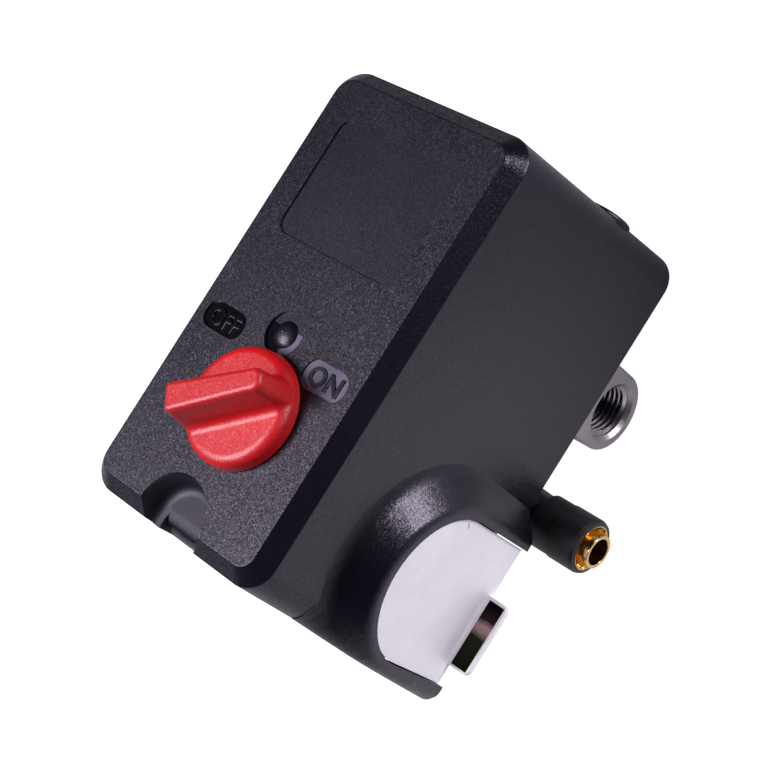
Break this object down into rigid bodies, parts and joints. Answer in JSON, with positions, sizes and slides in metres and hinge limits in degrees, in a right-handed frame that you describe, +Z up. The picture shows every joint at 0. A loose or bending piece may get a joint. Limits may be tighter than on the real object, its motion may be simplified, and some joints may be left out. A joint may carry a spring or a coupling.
{
  "type": "pressure switch",
  "caption": "Box-shaped air compressor pressure switch with a black bevelled cover, a red turn knob, a threaded manifold underneath and an unloader tube fitting at the side.",
  "frame": {"origin": "centre of the tank inlet mouth, on the underside of the manifold", "axes": "+Z up out of the cover face, +Y along the cover away from the knob, +X to the side with the unloader fitting"},
  "size_m": [0.086, 0.115, 0.111],
  "materials": {
    "black_cover": "spark-eroded texture, satin black ABS",
    "red_knob": "fine-textured red nylon",
    "zinc_sheet": "bright zinc plated",
    "die_cast": "as-cast zinc alloy, matt grey",
    "rubber_black": "matt",
    "steel_plated": "zinc plated",
    "spring_steel": "drawn wire",
    "phenolic": "moulded phenolic",
    "brass_parts": "turned brass",
    "copper_parts": "copper strip",
    "nylon_black": "matt black nylon",
    "pom_white": "white acetal"
  },
  "bodies": {
    "root": {"base_frame": "zinc_sheet", "bridge_screws": "steel_plated", "bushing_locknuts": "nylon_black", "cable_bushings": "nylon_black", "contact_block": "phenolic", "contact_block_screws": "steel_plated", "cover": "black_cover", "cover_screws": "steel_plated", "diaphragm": "rubber_black", "earth_screw": "brass_parts", "fixed_contacts": "copper_parts", "flange_screws": "steel_plated", "pivot_clips": "spring_steel", "pivot_pin": "steel_plated", "pressure_manifold": "die_cast", "range_spring": "spring_steel", "spring_bridge": "zinc_sheet", "terminal_screws": "steel_plated", "tube_fitting_body": "nylon_black", "tube_fitting_insert": "brass_parts", "tube_o_ring": "rubber_black", "unloader_body": "brass_parts", "unloader_screws": "steel_plated"},
    "knob": {"control_knob": "red_knob", "knob_retaining_ring": "spring_steel", "cam_shaft": "pom_white"},
    "piston": {"piston": "pom_white"},
    "lever": {"main_lever": "steel_plated", "spring_seat": "steel_plated", "contact_carrier": "phenolic", "moving_contacts": "copper_parts", "carrier_rivets": "brass_parts"},
    "unloader_pin": {"unloader_pin": "steel_plated"},
    "collet": {"release_collet": "brass_parts"},
    "spring_plate": {"spring_plate": "steel_plated"},
    "range_screw": {"range_screw": "steel_plated"}
  },
  "joints": [
    {"name": "knob_turn", "type": "hinge", "parent": "root", "child": "knob", "pos_m": [0.0028, -0.0442, 0.0973], "axis": [0, 0, 1], "range_deg": [0, 100]},
    {"name": "piston_lift", "type": "slide", "parent": "root", "child": "piston", "axis": [0, 0, 1], "range_m": [0, 0.0012]},
    {"name": "lever_tilt", "type": "hinge", "parent": "root", "child": "lever", "pos_m": [0, 0.0257, 0.037], "axis": [-1, 0, 0], "range_deg": [0, 2.8], "deforming": ["range_spring"]},
    {"name": "unloader_pin_lift", "type": "slide", "parent": "root", "child": "unloader_pin", "axis": [0, 0, 1], "range_m": [0, 0.0027]},
    {"name": "collet_press", "type": "slide", "parent": "root", "child": "collet", "axis": [-1, 0, 0], "range_m": [0, 0.001]},
    {"name": "spring_plate_travel", "type": "slide", "parent": "root", "child": "spring_plate", "axis": [0, 0, 1], "range_m": [-0.00125, 0.00125]},
    {"name": "range_screw_turn", "type": "hinge", "parent": "spring_plate", "child": "range_screw", "pos_m": [0, 0, 0.082], "axis": [0, 0, 1], "range_deg": [-360, 360]}
  ],
  "couplings": [
    {"joint": "lever_tilt", "follows": "piston_lift", "rad_per_m": 38.91},
    {"joint": "unloader_pin_lift", "follows": "piston_lift", "ratio": 2.1479},
    {"joint": "range_screw_turn", "follows": "spring_plate_travel", "rad_per_m": 5026.5}
  ]
}
